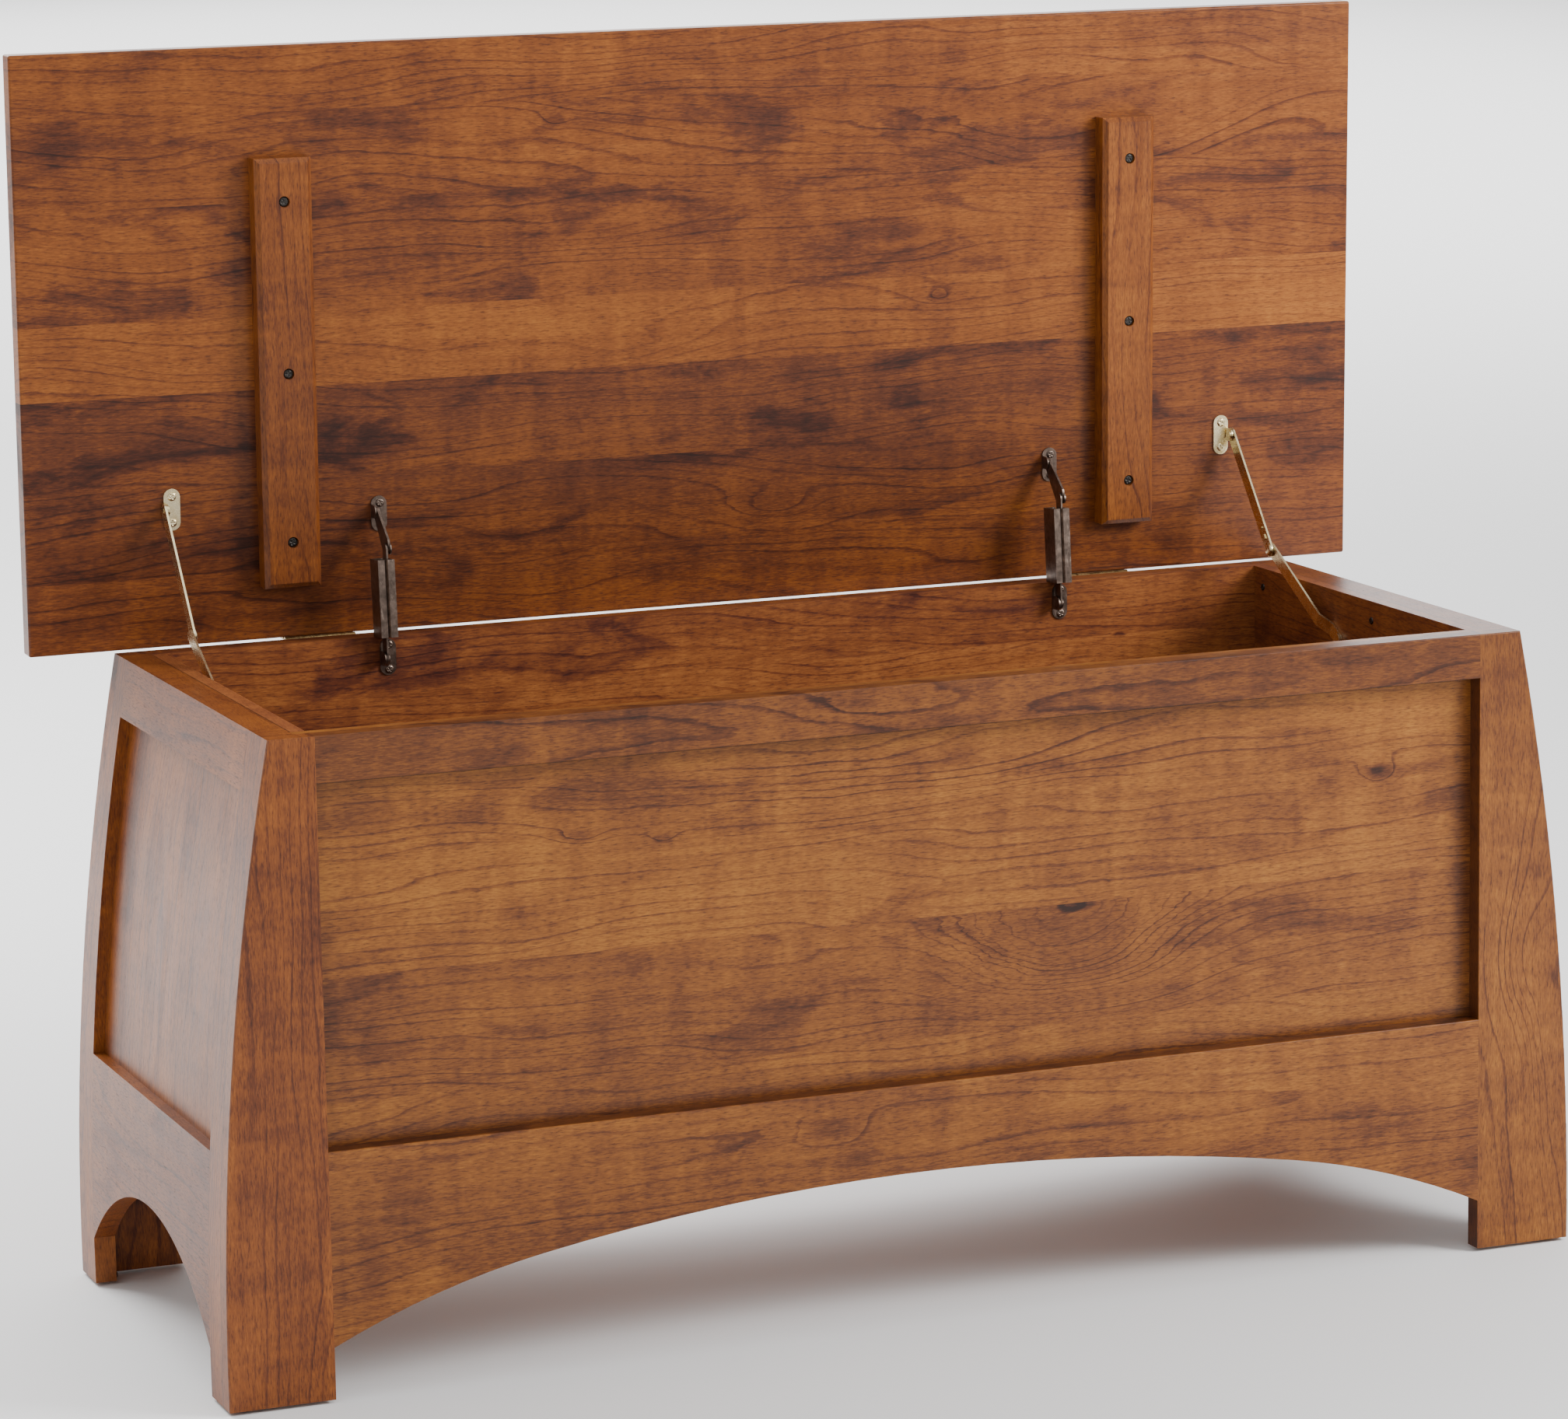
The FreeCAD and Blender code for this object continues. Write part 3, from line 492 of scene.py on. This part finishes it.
def islands(name):
    """The middle of each separate solid in a CAD node."""
    mesh = bmesh.new()
    mesh.from_mesh(frame["nodes"][name].data)
    bmesh.ops.remove_doubles(mesh, verts=mesh.verts, dist=1e-6)
    left = set(mesh.verts)
    middles = []
    while left:
        reached = {left.pop()}
        edge_of_search = list(reached)
        while edge_of_search:
            for edge in edge_of_search.pop().link_edges:
                for vertex in edge.verts:
                    if vertex in left:
                        left.discard(vertex)
                        reached.add(vertex)
                        edge_of_search.append(vertex)
        lows = [min(vertex.co[axis] for vertex in reached) for axis in range(3)]
        highs = [max(vertex.co[axis] for vertex in reached) for axis in range(3)]
        middles.append(Vector((low + high) / 2 for low, high in zip(lows, highs)))
    mesh.free()
    return sorted(middles, key=lambda middle: tuple(round(value, 4) for value in middle))


def facing(middle, outward, turn=0.0):
    """A frame at a point whose Z points outward, turned about it."""
    tilt = Vector((0, 0, 1)).rotation_difference(outward).to_matrix().to_4x4()
    return Matrix.Translation(middle) @ tilt @ Matrix.Rotation(turn, 4, "Z")


HEAD_CELLS = 30


def domed_head(mesh, seat, radius, height, recess=0.6):
    """A domed round head on its seat, with a cross recess when recess is above 0."""
    rows = []
    for row in range(HEAD_CELLS + 1):
        line = []
        for column in range(HEAD_CELLS + 1):
            u = 2 * column / HEAD_CELLS - 1
            v = 2 * row / HEAD_CELLS - 1
            x = u * math.sqrt(1 - v * v / 2)
            y = v * math.sqrt(1 - u * u / 2)
            out = min(1.0, math.hypot(x, y))
            rise = math.sqrt(max(0.0, 1.0 - out ** 2.6)) * 0.72 + 0.28 * (1 - out ** 8)
            arm = min(max(abs(x) / 0.15, abs(y) / 0.58), max(abs(y) / 0.15, abs(x) / 0.58))
            sunk = recess * min(1.0, max(0.0, (1.12 - arm) / 0.24))
            place = Vector((x * radius, y * radius, height * (rise - sunk * 0.8)))
            line.append(mesh.verts.new(seat @ place))
        rows.append(line)
    for near_row, far_row in zip(rows, rows[1:]):
        for column in range(HEAD_CELLS):
            corners = near_row[column:column + 2] + far_row[column:column + 2][::-1]
            mesh.faces.new(corners).smooth = True


def make_piece(name, mesh, body, slot, stands_for):
    data = bpy.data.meshes.new(name)
    mesh.to_mesh(data)
    mesh.free()
    data.materials.append(METALS[slot])
    piece = bpy.data.objects.new(name, data)
    bpy.context.scene.collection.objects.link(piece)
    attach(piece, body)
    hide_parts(stands_for)


HEAD_SINK = 0.0006
TO_FRONT = Vector((0, -math.cos(LEAN), -math.sin(LEAN)))
SCREWS = (
    ("batten_screws", "lid", TO_FRONT, 0.0043, 0.0014, "dark_screw"),
    ("stay_screws", "lid", TO_FRONT, 0.0037, 0.0013, "brass"),
    ("support_lid_screws", "lid", TO_FRONT, 0.0037, 0.0015, "bronze"),
    ("support_wall_screws", "carcass", Vector((0, -1, 0)), 0.0037, 0.0015, "bronze"),
    ("hinge_lid_screws", "lid", Vector((0, math.sin(LEAN), -math.cos(LEAN))), 0.0031, 0.0007, "brass"),
    ("hinge_case_screws", "carcass", Vector((0, 1, 0)), 0.0031, 0.0007, "brass"),
)
for name, body, outward, radius, height, slot in SCREWS:
    heads = bmesh.new()
    for count, middle in enumerate(islands(name)):
        seat = facing(middle - outward * HEAD_SINK, outward, 0.5 + count * 1.1)
        domed_head(heads, seat, radius, height)
    make_piece(f"{name}_heads", heads, body, slot, name)

heads = bmesh.new()
for count, middle in enumerate(islands("liner_screws")):
    outward = Vector((-math.copysign(1, middle.x), 0, 0))
    domed_head(heads, facing(middle - outward * HEAD_SINK, outward, 0.4 + count), 0.0033, 0.0012)
make_piece("liner_screws_heads", heads, "carcass", "dark_screw", "liner_screws")

for side, outward in (("left", Vector((1, 0, 0))), ("right", Vector((-1, 0, 0)))):
    heads = bmesh.new()
    rivet = f"{side}_stay_elbow_rivet"
    low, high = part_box(rivet)
    seat = facing((low + high) / 2 - outward * HEAD_SINK, outward)
    domed_head(heads, seat, 0.0055, 0.0019, recess=0.0)
    make_piece(f"{rivet}_head", heads, f"{side}_stay_upper", "brass", rivet)


# ---- stage, light, camera ----------------------------------------------------------------------

def stage_floor():
    mesh = bmesh.new()
    bmesh.ops.create_grid(mesh, x_segments=4, y_segments=4, size=40.0)
    data = bpy.data.meshes.new("studio_floor")
    mesh.to_mesh(data)
    mesh.free()
    paper = Finish("studio_paper", Roughness=0.9)
    paper.shader.inputs["Base Color"].default_value = (0.92, 0.92, 0.92, 1.0)
    data.materials.append(paper.material)
    floor = bpy.data.objects.new("studio_floor", data)
    bpy.context.scene.collection.objects.link(floor)


def soft_box(name, place, aim, width, height, power):
    light = bpy.data.lights.new(name, "AREA")
    light.shape = "RECTANGLE"
    light.size = width
    light.size_y = height
    light.energy = power
    holder = bpy.data.objects.new(name, light)
    bpy.context.scene.collection.objects.link(holder)
    holder.location = place
    holder.rotation_euler = (Vector(aim) - Vector(place)).to_track_quat("-Z", "Y").to_euler()


CAMERA_PLACE = (-1.7222, -4.2790, 1.3077)
CAMERA_TURN = (21.642, -10.304, -1.001)
CAMERA_LENS = 129.09
CAMERA_REACH = 150.0


def studio_camera():
    yaw, pitch, roll = (math.radians(angle) for angle in CAMERA_TURN)
    level_ahead = Vector((math.sin(yaw), math.cos(yaw), 0))
    ahead = level_ahead * math.cos(pitch) + Vector((0, 0, math.sin(pitch)))
    level = Vector((math.cos(yaw), -math.sin(yaw), 0))
    upright = level.cross(ahead)
    right = math.cos(roll) * level + math.sin(roll) * upright
    up = math.cos(roll) * upright - math.sin(roll) * level
    data = bpy.data.cameras.new("studio_camera")
    data.sensor_fit = "HORIZONTAL"
    data.sensor_width = 36.0
    data.lens = CAMERA_LENS
    data.clip_end = CAMERA_REACH
    camera = bpy.data.objects.new("studio_camera", data)
    bpy.context.scene.collection.objects.link(camera)
    turn = Matrix((right, up, -ahead)).transposed().to_4x4()
    camera.matrix_world = Matrix.Translation(CAMERA_PLACE) @ turn
    bpy.context.scene.camera = camera


# name, place, aim, width, height, power
LIGHTS = (
    ("key_light", (2.3, -1.8, 1.9), (0.1, 0.0, 0.5), 1.2, 1.2, 100.0),
    ("back_light", (-1.6, 2.6, 2.6), (-1.0, 1.8, 0.0), 2.4, 2.4, 190.0),
    ("top_light", (0.3, -1.6, 4.0), (0.2, -0.4, 0.2), 3.0, 3.0, 25.0),
    ("paper_light", (4.5, 12.5, 3.2), (4.5, 12.5, 0.0), 10.0, 16.0, 1500.0),
)
stage_floor()
for light in LIGHTS:
    soft_box(*light)
world = bpy.data.worlds.new("studio_air")
world.use_nodes = True
world.node_tree.nodes["Background"].inputs["Color"].default_value = (1.0, 1.0, 1.0, 1.0)
world.node_tree.nodes["Background"].inputs["Strength"].default_value = 0.75
bpy.context.scene.world = world
studio_camera()
